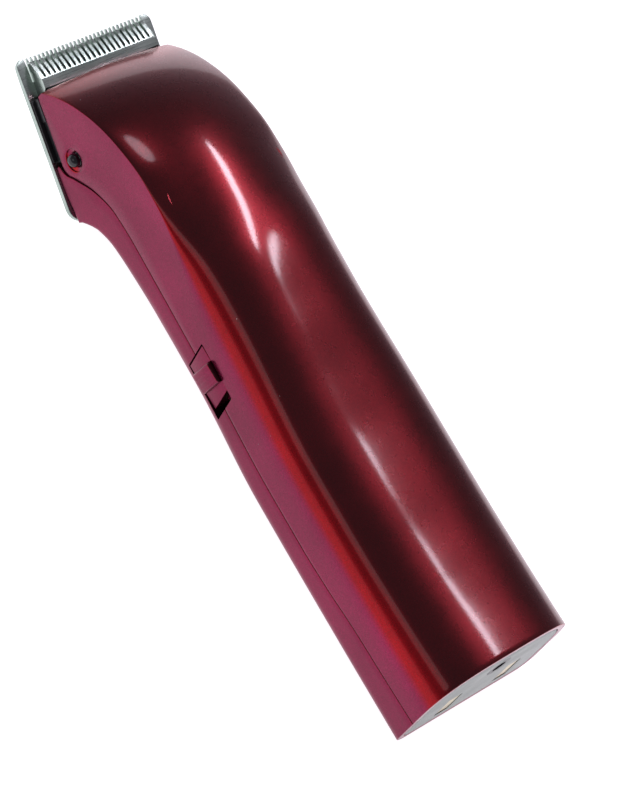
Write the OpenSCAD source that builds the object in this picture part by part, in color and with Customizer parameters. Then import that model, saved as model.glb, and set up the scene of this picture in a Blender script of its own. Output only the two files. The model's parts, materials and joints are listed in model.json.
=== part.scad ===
// Cordless animal clipper: a slim hand-held trimmer with a detachable comb-and-cutter blade set,
// a motor with an eccentric, a swinging drive lever, two cells and a charging end cap.
// Built lying on its underside: +Z up, blade towards -Y, butt towards +Y, switch side at +X.

/* [Body] */
// Length from the comb tips to the butt
body_length = 170; // [168:1:172]
// Half of the width of the grip
grip_half = 19.8; // [19.4:0.1:20]
// Half of the width of the head
head_half = 18.4; // [18.2:0.1:18.6]
// Wall thickness of the two shells
wall = 1.8; // [1.6:0.1:1.9]
// Gap of the seam between the two shells
seam = 0.1; // [0.1:0.05:0.2]
// Lean of the end face from square, in degrees
end_lean = 8.5; // [7.5:0.5:9]

/* [Blade set] */
// Angle of the blade plane below the grip axis, in degrees
blade_tilt = 18.5; // [18:0.25:19]
// Half of the width of the comb
comb_half = 19.2; // [19:0.1:19.3]
// Length of the comb plate
comb_length = 37.9; // [37.5:0.1:38]
// Thickness of the comb plate
comb_thick = 1.3; // [1.1:0.1:1.4]
// Number of comb teeth between the two end guards
comb_teeth = 29; // [25:2:31]
// Length of the comb teeth
comb_tooth_length = 5.6; // [5:0.2:6]
// Half of the width of the moving cutter
cutter_half = 16.4; // [16:0.1:16.6]
// Number of cutter teeth
cutter_teeth = 23; // [21:2:25]

/* [Drive] */
// Offset of the crank pin from the motor axis
crank_throw = 1.2; // [1:0.1:1.25]
// Diameter of the motor can
motor_d = 20.4; // [20:0.1:20.4]
// Length of the motor can
motor_length = 31; // [30:0.5:31.5]

/* [Power] */
// Diameter of one cell
cell_d = 14.2; // [13.8:0.1:14.3]
// Length of one cell
cell_length = 49; // [48:0.5:49.5]
// Bore of the charging socket
socket_bore = 3.6; // [3.4:0.1:4]

/* [Hidden] */
$fn = 64;
eps = 0.01;

// Tip of the comb's upper face, in grip coordinates (y from the tip, z up)
tip = [0, 0.6, 6.0];
// Height of the shell's lower edge above the comb's upper face
rim_over_comb = 2.3;

// Control points: [y, value]. The curves run smoothly through them.
crown_pts = [[9.4, 9.6], [14, 16], [20, 20.8], [27, 24.4], [36, 27.2], [48, 29], [62, 29.4],
  [80, 28.4], [98, 27.3], [112, 26.9], [130, 27], [150, 27.7], [body_length + 1, 29]];
shoulder_pts = [[9.4, 6.9], [14, 12.5], [19, 16.5], [25, 20], [32, 22.4], [40, 23.9], [47, 23.8],
  [56, 22], [68, 17.5], [82, 13.8], [100, 12.4], [140, 12.2], [body_length + 1, 12.9]];
round_pts = [[9, 2.1], [44, 2.1], [60, 2.5], [80, 3.2], [100, 3.5], [140, 3.4],
  [body_length + 1, 3.2]];
width_pts = [[9, head_half - 0.1], [36, head_half], [60, head_half + 0.5], [84, grip_half - 0.2],
  [110, grip_half + 0.9], [body_length + 1, grip_half + 1.2]];
base_pts = [[37, -5.2], [38.4, -3.6], [41, -1.5], [46.5, 0], [53, 0.2], [61, 0.2], [82, 0.4],
  [104, 0.5], [146, 0.9], [body_length + 1, 1.4]];
corner_pts = [[30, 0.5], [40, 2], [50, 3.6], [64, 5.2], [84, 5.6], [110, 4.4],
  [body_length + 1, 4]];
rim_pts = [[25, 0.26], [26.4, -0.05], [29.3, 2.3], [34.5, 6.3], [41, 8.8], [50, 9.4], [124, 9.5],
  [134, 10], [145, 11.1], [157, 11.7], [body_length + 1, 12.5]];

// Stations along the grip at which the shells are sectioned
nose_y = 9.7;
lip_y = 24.4;
heel_step = 36.95;
shared_stations = [26.4, 27.8, 29.3, 32, heel_step - 0.2, heel_step + 0.2, 38.2, 39.5, 42, 45, 49,
  54, 60, 67, 75, 84, 95, 108, 116, 124, 132, 140, 150, 160, body_length];
upper_stations = concat([nose_y, 11.5, 13.5, 16, 19, 22.5, 25], shared_stations);
lower_stations = concat([lip_y], shared_stations);
lean_start = 146;
arc_steps = 11;
corner_steps = 5;

// Motor, crank and lever
motor_z = 10.6;
motor_front = 51;
motor_back = motor_front + motor_length;
motor_flat = 15.3;
can_wall = 1;
shaft_d = 2;
hub_d = 6.4;
hub_y = [44, 48];
crank_y = 41.3;
crank_pin_d = 1.6;
screw_offset = 7;
pivot_u = 25;
finger_u = 12;
finger_d = 2.4;
pivot_pin_d = 2.5;
running_gap = 0.03;
crank_h = (crank_y - tip.y) * sin(blade_tilt) + (motor_z - tip.z) * cos(blade_tilt);
fork_half = 2 * crank_throw + crank_pin_d / 2 + 0.15;
tine = 1.6;
lever_floor = 4.4;
lever_thick = 2.4;
blade_screw = [12, 19];

// Chassis
floor_h = [2.75, 4.1];
bulkhead_y = [48.4, 50];
bulkhead_half = 9.9;

// Housing screws: [x, y] of the pair on the right side
screw_spots = [[13.2, 47], [13.9, 99]];
boss_d = 6;
boss_top = 9.2;
ear_thick = 2.1;

// Switch slider, and the window that leaves room for its travel; the ends of both lean forward
switch_lean = 12;
slider_y = [77, 87.9];
slider_travel = 2;
window_y = [slider_y[0] - 0.35, slider_y[1] + slider_travel + 0.3];
window_z = [5.2, 13.6];
thumb_y = [79.9, 84.9];

// Blade release button
button_y = 25.9;
button_z = 5.2;
button_d = 3.2;
dish_d = 5.4;

// Cells and board
cell_x = 7.6;
cell_z = 12.4;
cell_front = 113;
board_y = [88, 110];
board_z = [6.2, 7.4];

// Charging socket and contacts, measured up the end face from its lower edge
socket_up = 19.6;
socket_depth = 8;
contact_up = 9;
contact_x = 9;
cap_thick = 2.4;

// Resting attitude: the comb's heel and the butt's lower edge stand on the surface
heel = [tip.y + comb_length * cos(blade_tilt) - comb_thick * sin(blade_tilt),
  tip.z - comb_length * sin(blade_tilt) - comb_thick * cos(blade_tilt)];
butt = [body_length, curve(base_pts, body_length)];
rest_tilt = atan((butt.y - heel.y) / (butt.x - heel.x));
rest_lift = heel.x * sin(rest_tilt) - heel.y * cos(rest_tilt);
front_reach = tip.y * cos(rest_tilt) + (tip.z - comb_thick) * sin(rest_tilt);
rear_reach = body_length * cos(rest_tilt) + 5.5 * sin(rest_tilt);
middle_y = (front_reach + rear_reach) / 2;

// Index of the stretch of p that holds y
function stretch(p, y, i = 0) = i >= len(p) - 2 || y < p[i + 1][0] ? i : stretch(p, y, i + 1);
function secant(p, i) = (p[i + 1][1] - p[i][1]) / (p[i + 1][0] - p[i][0]);
// Slope at a control point that adds no bumps between the points
function slope(p, i) = i == 0 ? secant(p, 0) : i == len(p) - 1 ? secant(p, i - 1)
  : let (a = secant(p, i - 1), b = secant(p, i)) a * b <= 0 ? 0 : 2 * a * b / (a + b);
function curve(p, y) = let (i = stretch(p, y), h = p[i + 1][0] - p[i][0],
  t = max(0, min(1, (y - p[i][0]) / h)), m = slope(p, i) * h, n = slope(p, i + 1) * h)
  (2 * t ^ 3 - 3 * t ^ 2 + 1) * p[i][1] + (t ^ 3 - 2 * t ^ 2 + t) * m
  + (3 * t ^ 2 - 2 * t ^ 3) * p[i + 1][1] + (t ^ 3 - t ^ 2) * n;

// Place of a section point: the rear sections lean with the end face
function leaned(x, y, z) = [x, y - max(0, (y - lean_start) / (body_length - lean_start))
  * (z - butt.y) * tan(end_lean), z];
// Underside of the lower shell: it lies on the comb plate ahead of the heel
function base(y) = y < heel_step ? over_comb(y, 0.1) : curve(base_pts, y);
// The upper shell's edge runs beside the comb, then along the seam; the lower shell's follows it
function upper_rim(y) = y < rim_pts[0][0] ? over_comb(y, rim_over_comb) : curve(rim_pts, y);
function lower_rim(y) = y < rim_pts[1][0] ? rim_pts[1][1] - seam - (rim_pts[1][0] - y) * 0.5
  : upper_rim(y) - seam;
// Height of the plane h above the comb's upper face
function over_comb(y, h) = tip.z + h / cos(blade_tilt) - (y - tip.y) * tan(blade_tilt);

// Height where the side turns into the crown, always a little above the rim
function shoulder(y) = max(curve(shoulder_pts, y), upper_rim(y) + 0.4);
// Right half of a section, from the rim up to the crown, drawn in by t
function upper_half(y, t) = let (w = curve(width_pts, y) - t, r = upper_rim(y),
  s = shoulder(y), c = curve(crown_pts, y) - t, e = 2 / curve(round_pts, y))
  concat([[w, r], [w, (r + s) / 2]],
  [for (k = [0:arc_steps]) let (a = 90 * k / arc_steps)
    [w * (k == arc_steps ? 0 : cos(a)) ^ e, s + (c - s) * sin(a) ^ e]]);
// Right half of a section, from the rim down to the keel, drawn in by t
function lower_half(y, t) = let (w = curve(width_pts, y) - t, b = base(y) + t, r = lower_rim(y),
  q = min(max(0.4, curve(corner_pts, y) - t), max(0.05, (r - b) * 0.9)))
  concat([[w, max(r, b + 0.1)]],
  [for (k = [0:corner_steps]) let (a = 90 * k / corner_steps)
    [w - q + q * cos(a), b + q - q * sin(a)]], [[0, b]]);
// Whole section: the right half and its mirror image
function both_sides(half) = let (n = len(half))
  concat(half, [for (k = [n - 2:-1:0]) [-half[k][0], half[k][1]]]);
function wall_ring(outer, inner) = concat(outer, [for (k = [len(inner) - 1:-1:0]) inner[k]]);
function placed(ring, y) = [for (p = ring) leaned(p[0], y, p[1])];

// Closed wall through equal rings, each an outer line and then its inner line backwards
module loft(rings) {
  n = len(rings[0]);
  last = (len(rings) - 1) * n;
  sides = [for (i = [0:len(rings) - 2], k = [0:n - 1]) let (a = i * n + k, b = i * n + (k + 1) % n)
    each [[a, b, b + n], [a, b + n, a + n]]];
  caps = [for (k = [0:n / 2 - 2]) let (a = k, b = k + 1, c = n - 2 - k, d = n - 1 - k)
    each [[a, c, b], [a, d, c], [last + a, last + b, last + c], [last + a, last + c, last + d]]];
  polyhedron([for (r = rings) each r], concat(sides, caps), convexity = 6);
}

module upper_solid() {
  loft([for (y = upper_stations) placed(wall_ring(both_sides(upper_half(y, 0)),
    both_sides(upper_half(y, wall))), y)]);
}
// The lower line runs the other way round, so its outer and inner lines change places
module lower_solid() {
  loft([for (y = lower_stations) placed(wall_ring(both_sides(lower_half(y, wall)),
    both_sides(lower_half(y, 0))), y)]);
}

// Grip coordinates to the resting attitude
module at_rest() {
  translate([0, -middle_y, rest_lift]) rotate([-rest_tilt, 0, 0]) children();
}
// Blade coordinates: Y back along the comb from its tip, Z up from its upper face
module on_blade() {
  at_rest() translate(tip) rotate([-blade_tilt, 0, 0]) children();
}
// End-face coordinates: Y up the face from its lower edge, Z into the grip
module on_end() {
  at_rest() translate([0, body_length, butt.y]) rotate([90 + end_lean, 0, 0]) children();
}
module both() {
  children();
  mirror([1, 0, 0]) children();
}
module block(low, high) {
  translate(low) cube(high - low);
}
// Round bar along Y
module rod_y(d, y, x = 0, z = 0) {
  translate([x, y[1], z]) rotate([90, 0, 0]) cylinder(d = d, h = y[1] - y[0]);
}
// Round bar along X
module rod_x(d, x, y, z) {
  translate([x[0], y, z]) rotate([0, 90, 0]) cylinder(d = d, h = x[1] - x[0]);
}
// Flat-sided outline in Y and Z, extruded to either side of the middle plane
module side_plate(half, outline) {
  translate([-half, 0, 0]) rotate([90, 0, 90]) linear_extrude(2 * half) polygon(outline);
}
// Height of the middle of the upper wall above a point of the section
function roof(x, y) = let (w = curve(width_pts, y) - wall / 2, s = shoulder(y),
  c = curve(crown_pts, y) - wall / 2, n = curve(round_pts, y)) s + (c - s) * (1 - (x / w) ^ n) ^ (1 / n);

// Block whose ends lean forward about its middle height by switch_lean
module leaning_block(x, y, z) {
  lean = (z[1] - z[0]) / 2 * tan(switch_lean);
  translate([x[0], 0, 0]) rotate([90, 0, 90]) linear_extrude(x[1] - x[0])
    polygon([[y[0] + lean, z[0]], [y[1] + lean, z[0]], [y[1] - lean, z[1]], [y[0] - lean, z[1]]]);
}

module window_cut() {
  leaning_block([grip_half - 4, grip_half + 1], window_y, window_z);
}

module upper_shell() {
  color("#6d1020") at_rest() difference() {
    union() {
      upper_solid();
      both() for (p = screw_spots) translate([p.x, p.y, boss_top + ear_thick + 0.1])
        cylinder(d = boss_d, h = roof(p.x + boss_d / 2, p.y) - boss_top - ear_thick - 0.1);
    }
    both() for (p = screw_spots) translate([p.x, p.y, boss_top]) cylinder(d = 2.2, h = 9);
    window_cut();
    rod_x(button_d + 0.3, [head_half - 3, head_half + 2], button_y, button_z);
    rod_x(dish_d, [head_half - 0.7, head_half + 2], button_y, button_z);
  }
}

module lower_shell() {
  color("#a33a5a") at_rest() difference() {
    union() {
      lower_solid();
      both() for (p = screw_spots) translate([p.x, p.y, base(p.y) + 0.9])
        cylinder(d = boss_d, h = boss_top - base(p.y) - 0.9);
      both() translate([cell_x, board_y[0] + 4, base(board_y[0]) + 0.9])
        cylinder(d = 3, h = board_z[0] - base(board_y[0]) - 0.9);
    }
    both() for (p = screw_spots) translate([p.x, p.y, -2]) {
      cylinder(d = 2.9, h = 20);
      cylinder(d = 5.2, h = 5.5);
    }
    window_cut();
  }
}

// Outline of a whole section, drawn in by t, and the same laid up the leaning end face
function outline(y, t) = let (low = lower_half(y, t), n = len(low) - 1)
  concat(both_sides(upper_half(y, t)), [for (k = [1:n]) [-low[k][0], low[k][1]]],
  [for (k = [n - 1:-1:1]) low[k]]);
function up_face(points) = [for (p = points) [p[0], (p[1] - butt.y) / cos(end_lean)]];

module end_cap() {
  fit = wall + 0.2;
  color("#b9bcbd") difference() {
    intersection() {
      on_end() linear_extrude(cap_thick) polygon(up_face(outline(body_length, fit)));
      at_rest() translate([0, body_length + 5, 0]) rotate([90, 0, 0]) linear_extrude(20)
        polygon(outline(body_length, fit));
    }
    on_end() translate([0, socket_up, -1]) cylinder(d = 6.3, h = 5);
    on_end() both() translate([contact_x, contact_up, 0]) {
      block([-2.1, -4.1, -1], [2.1, 4.1, 0.6]);
      cylinder(d = 1.3, h = 5);
    }
  }
}

module charging_contacts() {
  color("#c8a24a") on_end() both() translate([contact_x, contact_up, 0]) {
    block([-2, -4, 0.15], [2, 4, 0.55]);
    translate([0, 0, 0.5]) cylinder(d = 1.2, h = 3.2);
  }
}

module charging_socket() {
  color("#1a1a1c") on_end() translate([0, socket_up, 0]) difference() {
    union() {
      cylinder(d = 6.2, h = 9);
      translate([0, 0, cap_thick + 0.05]) cylinder(d = 7.4, h = 1);
    }
    translate([0, 0, -1]) cylinder(d = socket_bore, h = socket_depth + 1);
  }
}

// One cell, its button end towards the blade or, when turned, towards the butt
module cell(x, turned) {
  cap = 1;
  can = turned ? [cell_front, cell_front + cell_length - cap] : [cell_front + cap, cell_front + cell_length];
  rod_y(cell_d, can, x, cell_z);
  rod_y(5.5, [cell_front, cell_front + cell_length], x, cell_z);
}
module battery_cell_left() {
  color("#2f7d4f") at_rest() cell(-cell_x, true);
}
module battery_cell_right() {
  color("#2f7d4f") at_rest() cell(cell_x, false);
}

module battery_link() {
  rear = cell_front + cell_length + 0.02;
  color("#c9c9c4") at_rest() block([-cell_x - 2.5, rear, cell_z - 2], [cell_x + 2.5, rear + 0.25, cell_z + 2]);
}

module battery_terminals() {
  front = cell_front - 0.02;
  foot = board_z[1] + 0.02;
  color("#c9c9c4") at_rest() both() {
    block([cell_x - 2, front - 0.25, foot], [cell_x + 2, front, cell_z + 2.5]);
    block([cell_x - 2, board_y[1] - 2, foot], [cell_x + 2, front, foot + 0.25]);
  }
}

module battery_tray() {
  color("#26262a") at_rest() difference() {
    block([-14.6, cell_front + 1, 4.1], [14.6, cell_front + cell_length - 1, 8.4]);
    both() rod_y(cell_d + 0.3, [cell_front, cell_front + cell_length], cell_x, cell_z);
  }
}

module circuit_board() {
  color("#1f6b3a") at_rest() union() {
    block([-10.4, board_y[0], board_z[0]], [10.4, board_y[1], board_z[1]]);
    block([10, board_y[0], board_z[0]], [15.5, board_y[0] + 7, board_z[1]]);
    block([11.4, window_y[0] - 1.5, board_z[0]], [15.5, board_y[0] + 1, board_z[1]]);
  }
}

module board_components() {
  top = board_z[1];
  color("#303338") at_rest() {
    block([-8.5, 91, top], [-1.5, 99, top + 5]);
    translate([5, 94, top]) cylinder(d = 6.3, h = 8);
    block([1, 99.5, top], [8, 103.5, top + 1.6]);
    block([-8, 101, top], [-4.5, 106, top + 2]);
  }
}

module switch_body() {
  color("#3a3a3e") at_rest() difference() {
    block([11.6, 77, board_z[1]], [15.2, 89, 12.2]);
    block([13.4, 79.4, 8.8], [16, 87.6, 11]);
  }
}

module switch_slider() {
  color("#b0355a") at_rest() union() {
    block([15.9, slider_y[0] - 3, window_z[0] - 0.4], [16.7, slider_y[1] + 0.6, window_z[1] + 0.4]);
    leaning_block([16.6, 19.35], slider_y, [window_z[0] + 0.3, window_z[1] - 0.3]);
    block([19.3, thumb_y[0], window_z[0] + 1], [20.7, thumb_y[1], window_z[1] - 0.3]);
    block([13.8, thumb_y[0] + 1.6, 9.2], [16, thumb_y[1] - 1.4, 10.6]);
  }
}

// Motor casing shape: a round bar with flats above and below
module flat_rod(d, flat, y) {
  intersection() {
    rod_y(d, y, 0, motor_z);
    block([-d, y[0] - 1, motor_z - flat / 2], [d, y[1] + 1, motor_z + flat / 2]);
  }
}
module motor_can() {
  color("#aeb1b4") at_rest() difference() {
    union() {
      flat_rod(motor_d, motor_flat, [motor_front, motor_back]);
      rod_y(6, [motor_front - 1.2, motor_front + 0.5], 0, motor_z);
    }
    flat_rod(motor_d - 2 * can_wall, motor_flat - 2 * can_wall, [motor_front + can_wall, motor_back + 1]);
    rod_y(shaft_d + 2 * running_gap, [motor_front - 3, motor_front + 3], 0, motor_z);
    both() rod_y(2, [motor_front - 3, motor_front + 3], screw_offset, motor_z);
  }
}

module motor_end_bell() {
  color("#e8e4d8") at_rest() difference() {
    flat_rod(motor_d, motor_flat, [motor_back + 0.02, motor_back + 2.6]);
    rod_y(shaft_d + 2 * running_gap, [motor_back - 1, motor_back + 2], 0, motor_z);
  }
}

module motor_magnets() {
  color("#44464a") at_rest() both() intersection() {
    flat_rod(motor_d - 2 * can_wall - 0.1, motor_flat - 2 * can_wall - 1, [motor_front + 5, motor_back - 4]);
    block([6.9, motor_front, 0], [12, motor_back, 30]);
  }
}

module motor_terminals() {
  color("#c8a24a") at_rest() both()
    block([5.2, motor_back + 2.6, motor_z - 1], [5.6, motor_back + 5.2, motor_z + 1]);
}

module motor_armature() {
  color("#8a5a33") at_rest() difference() {
    rod_y(12.4, [motor_front + 6, motor_back - 5], 0, motor_z);
    rod_y(shaft_d, [motor_front, motor_back], 0, motor_z);
  }
}

module motor_shaft() {
  color("#d4d6d8") at_rest() rod_y(shaft_d, [hub_y[0] + 0.6, motor_back + 1.8], 0, motor_z);
}

module eccentric() {
  color("#e6e1d0") at_rest() union() {
    difference() {
      rod_y(hub_d, hub_y, 0, motor_z);
      rod_y(shaft_d, [hub_y[0] + 0.6, hub_y[1] + 1], 0, motor_z);
    }
    rod_y(crank_pin_d, [crank_y - 1.5, hub_y[0] + 0.3], 0, motor_z + crank_throw);
  }
}

// Rear frame: a bulkhead behind the crank, ears for the front housing screws and two side beams
module chassis_rear() {
  difference() {
    union() {
      block([-bulkhead_half, bulkhead_y[0], 2.6], [bulkhead_half, bulkhead_y[1], 18.8]);
      both() {
        translate([7.6 + 1.1, 0, 0]) side_plate(1.1, [[24, 1.4], [31, -0.9], [36, 2.4], [50, 2.6],
          [50, 6], [34, 6], [24, 4]]);
        block([9, 45.4, boss_top + 0.05], [screw_spots[0].x, 49.8, boss_top + ear_thick]);
        translate([screw_spots[0].x, screw_spots[0].y, boss_top + 0.05])
          cylinder(d = 5.6, h = ear_thick - 0.05);
      }
    }
    rod_y(6.3, [45, 52], 0, motor_z);
    both() {
      rod_y(2.1, [45, 52], screw_offset, motor_z);
      translate([screw_spots[0].x, screw_spots[0].y, 0]) cylinder(d = 2.9, h = 20);
    }
  }
}
// Sloping floor over the blade set, with the pivot boss and the button spring's seat
module chassis() {
  color("#2a2a2e") {
    on_blade() difference() {
      union() {
        block([-15.4, 14.2, floor_h[0]], [15.4, 31, floor_h[1]]);
        translate([0, pivot_u, floor_h[0]]) cylinder(d = 5, h = lever_floor - floor_h[0] - running_gap);
        block([10.7, pivot_u - 2.5, floor_h[0]], [11.7, pivot_u + 2.5, 9.8]);
      }
      translate([0, pivot_u, 0]) cylinder(d = pivot_pin_d, h = 12);
    }
    at_rest() chassis_rear();
  }
}

module screw(head_d, head_h, shank_d, shank_h) {
  difference() {
    cylinder(d = head_d, h = head_h);
    translate([0, 0, -eps]) cylinder(d = head_d * 0.42, h = head_h * 0.6, $fn = 6);
  }
  translate([0, 0, head_h]) cylinder(d = shank_d, h = shank_h);
}

module motor_screws() {
  color("#b4b6b8") at_rest() both() translate([screw_offset, bulkhead_y[0] - 1.3, motor_z])
    rotate([-90, 0, 0]) screw(3.6, 1.3, 1.9, 4.2);
}

module housing_screws() {
  color("#b4b6b8") at_rest() both() for (p = screw_spots) translate([p.x, p.y, 1.6])
    screw(4.8, 1.85, 2.1, 14);
}

module drive_lever() {
  color("#efe9d6") on_blade() difference() {
    union() {
      translate([0, pivot_u, lever_floor]) cylinder(d = 7, h = 4);
      block([-2.2, finger_u, lever_floor], [2.2, pivot_u, lever_floor + lever_thick]);
      translate([0, finger_u, lever_floor]) cylinder(d = 4.4, h = lever_thick);
      translate([0, finger_u, 0.9]) cylinder(d = finger_d, h = lever_floor);
      side_plate(1.5, [[26, lever_floor], [29, lever_floor], [34, crank_h - 4.8], [34, crank_h + 2],
        [32.4, crank_h + 2], [27.5, 8.2], [26, 8.2]]);
      block([-fork_half - tine, 32.6, crank_h - 3], [fork_half + tine, 34.4, crank_h + 3]);
      both() block([fork_half, 33, crank_h - 3], [fork_half + tine, 38.3, crank_h + 3]);
    }
    translate([0, pivot_u, 0]) cylinder(d = pivot_pin_d + 2 * running_gap, h = 12);
  }
}

module lever_pivot_pin() {
  color("#d4d6d8") on_blade() translate([0, pivot_u, floor_h[0]]) cylinder(d = pivot_pin_d, h = 6.6);
}

module lever_clip() {
  color("#55585c") on_blade() translate([0, pivot_u, lever_floor + 4.1]) difference() {
    cylinder(d = 5, h = 0.5);
    translate([0, 0, -1]) cylinder(d = pivot_pin_d, h = 3);
  }
}

// Comb plate seen from above: round guards at both ends and a row of slots between them
module comb_outline() {
  span = comb_half - 2.3;
  pitch = 2 * span / (comb_teeth + 1);
  difference() {
    hull() both() {
      translate([comb_half - 2.4, 2.4]) circle(2.4);
      translate([comb_half - 3.5, comb_length - 3.5]) circle(3.5);
    }
    for (k = [0:comb_teeth]) translate([-span + pitch * (k + 0.5) - pitch * 0.24, -1])
      square([pitch * 0.48, comb_tooth_length + 1]);
  }
}
module comb_blade() {
  color("#a9b3ad") on_blade() difference() {
    translate([0, 0, -comb_thick]) linear_extrude(comb_thick) comb_outline();
    both() translate([blade_screw.x, blade_screw.y, -comb_thick - 1]) {
      cylinder(d = 2.5, h = 4);
      cylinder(d = 4.2, h = 1.85);
    }
  }
}

module cutter_blade() {
  pitch = 2 * cutter_half / cutter_teeth;
  color("#b8c4bd") on_blade() difference() {
    side_plate(cutter_half, [[1.2, 0.05], [8.7, 0.05], [8.7, 2.6], [7.6, 3.5], [5.6, 3.5], [4.8, 3],
      [1.5, 1.2], [1.2, 0.8]]);
    for (k = [1:cutter_teeth - 1]) let (x = -cutter_half + pitch * k)
      block([x - 0.3, 0, -1], [x + 0.3, 5.3, 5]);
  }
}

module cutter_yoke() {
  slot_half = finger_d / 2 + 0.06;
  color("#efe9d6") on_blade() difference() {
    block([-5, 8.7, 0.2], [5, 15.4, 2]);
    block([-slot_half, finger_u - 2, 0.7], [slot_half, finger_u + 2, 3]);
  }
}

module blade_carrier() {
  color("#19191b") on_blade() difference() {
    block([-17.8, 9.2, 0], [17.8, 24, 2]);
    block([-7, 9, -1], [7, 16.6, 3]);
    both() translate([blade_screw.x, blade_screw.y, -1]) cylinder(d = 2.3, h = 2.7);
  }
}

module cutter_spring() {
  leaf = [2.03, 2.28];
  color("#c9cdd0") on_blade() union() {
    block([-8, 17.6, leaf[0]], [8, 23.6, leaf[1]]);
    both() block([2.9, 10.2, leaf[0]], [4.4, 18, leaf[1]]);
  }
}

module blade_screws() {
  color("#8f9497") on_blade() both()
    translate([blade_screw.x, blade_screw.y, -comb_thick + 0.05]) screw(4, 0.75, 2.2, 2);
}

module release_button() {
  color("#1c1c1e") at_rest() union() {
    rod_x(button_d, [15, head_half - 0.3], button_y, button_z);
    translate([head_half - 0.3, button_y, button_z]) sphere(d = button_d);
    rod_x(4.4, [15.1, 16.1], button_y, button_z);
    rod_x(1.8, [13.1, 15.2], button_y, button_z);
  }
}

// Coil spring: a round wire swept along a helix about the button's axis
module button_spring() {
  turns = 4;
  steps = 12;
  wire = 0.22;
  coil = 1.5;
  reach = [11.9, 14.85];
  count = turns * steps;
  function wire_ring(k) = let (a = 360 * k / steps, x = reach[0] + (reach[1] - reach[0]) * k / count)
    [for (j = [0:5]) [x + wire * sin(60 * j), (coil + wire * cos(60 * j)) * cos(a),
      (coil + wire * cos(60 * j)) * sin(a)]];
  rings = [for (k = [0:count]) wire_ring(k)];
  walls = [for (k = [0:count - 1], j = [0:5]) let (a = 6 * k + j, b = 6 * k + (j + 1) % 6)
    each [[a, b + 6, b], [a, a + 6, b + 6]]];
  color("#c9cdd0") at_rest() translate([0, button_y, button_z])
    polyhedron([for (r = rings) each r], concat(walls, [[for (j = [0:5]) j]],
      [[for (j = [5:-1:0]) 6 * count + j]]), convexity = 10);
}

upper_shell();
lower_shell();
end_cap();
charging_contacts();
charging_socket();
battery_cell_left();
battery_cell_right();
battery_link();
battery_terminals();
battery_tray();
circuit_board();
board_components();
switch_body();
switch_slider();
motor_can();
motor_end_bell();
motor_magnets();
motor_terminals();
motor_armature();
motor_shaft();
eccentric();
chassis();
motor_screws();
housing_screws();
drive_lever();
lever_pivot_pin();
lever_clip();
comb_blade();
cutter_blade();
cutter_yoke();
blade_carrier();
cutter_spring();
blade_screws();
release_button();
button_spring();
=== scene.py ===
"""Looks of the cordless animal clipper: detailed outer pieces, materials, floor, lights and camera.

Shapes are worked out in millimetres, in the grip's own coordinates (y back from the comb tips, z up),
and a matrix that comes from the frame's joints and mounts lays them in the row frame, in metres.
"""

import json
import math

import bmesh
import bpy
from mathutils import Matrix, Vector

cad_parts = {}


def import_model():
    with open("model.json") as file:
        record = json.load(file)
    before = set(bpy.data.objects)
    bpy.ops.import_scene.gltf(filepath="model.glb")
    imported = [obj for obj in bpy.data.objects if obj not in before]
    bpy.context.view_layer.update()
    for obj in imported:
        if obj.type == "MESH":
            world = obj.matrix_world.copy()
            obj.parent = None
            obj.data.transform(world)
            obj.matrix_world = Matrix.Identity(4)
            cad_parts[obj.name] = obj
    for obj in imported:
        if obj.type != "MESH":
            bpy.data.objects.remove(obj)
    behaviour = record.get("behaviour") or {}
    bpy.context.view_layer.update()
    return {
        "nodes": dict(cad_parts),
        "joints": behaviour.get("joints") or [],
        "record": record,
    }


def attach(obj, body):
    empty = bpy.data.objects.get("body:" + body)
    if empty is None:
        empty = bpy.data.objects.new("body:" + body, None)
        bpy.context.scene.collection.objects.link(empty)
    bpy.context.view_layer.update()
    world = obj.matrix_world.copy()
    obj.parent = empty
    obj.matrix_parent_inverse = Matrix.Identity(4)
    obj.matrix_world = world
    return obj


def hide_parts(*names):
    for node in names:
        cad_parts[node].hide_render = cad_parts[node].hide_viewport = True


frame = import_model()
MM = 0.001

# ---------------------------------------------------------------- driving sizes, in millimetres
BODY_LENGTH = 170
GRIP_HALF = 19.8
HEAD_HALF = 18.4
WALL = 1.8
SEAM = 0.1
END_LEAN = 8.5
BLADE_TILT = 18.5
TIP_Y, TIP_Z = 0.6, 6.0
RIM_OVER_COMB = 2.3
NOSE_Y = 9.7
LIP_Y = 24.4
HEEL_STEP = 36.95
LEAN_START = 146
EDGE = 0.16
LIP_PROUD, LIP_END, LIP_FADE = 0.35, 44, 18
CREASE_SHARE, CREASE_END, CREASE_FADE = 0.78, 64, 22
SHELL_CLEAR = 0.1
MERGE = 0.002

COMB_HALF = 19.2
COMB_LENGTH = 37.9
COMB_THICK = 1.3
COMB_TEETH = 29
COMB_TOOTH = 5.6
COMB_FRONT_R, COMB_REAR_R = 2.0, 3.5
CUTTER_HALF = 16.4
CUTTER_TEETH = 23
CUTTER_FRONT, CUTTER_BACK, CUTTER_HIGH = 1.2, 8.7, 3.5
CUTTER_LOW = 0.05
SCREW_X, SCREW_U, SCREW_HOLE = 12, 19, 2.1
MOTOR_FACE = (0, 46, 10.6)
LEVER_PIVOT = (0, 25, 6)

WINDOW_Y, WINDOW_Z = (76.65, 90.2), (5.2, 13.6)
SLIDER_Y, THUMB_Y, SWITCH_LEAN = (77, 87.9), (79.9, 84.9), 12
BUTTON_Y, BUTTON_Z, BUTTON_D, DISH_D = 25.9, 5.2, 3.2, 5.4
HOUSING_SCREWS = ((13.2, 47), (13.9, 99))
BOSS_D, BOSS_TOP, EAR = 6, 9.2, 2.1
RECESS_R, RECESS_TOP, CLEAR_R = 2.6, 3.5, 1.45
SOCKET_UP, SOCKET_D, SOCKET_DEPTH, CONTACT_X, CONTACT_UP, CAP_THICK = 19.6, 6.2, 8, 9, 9, 2.4

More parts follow.
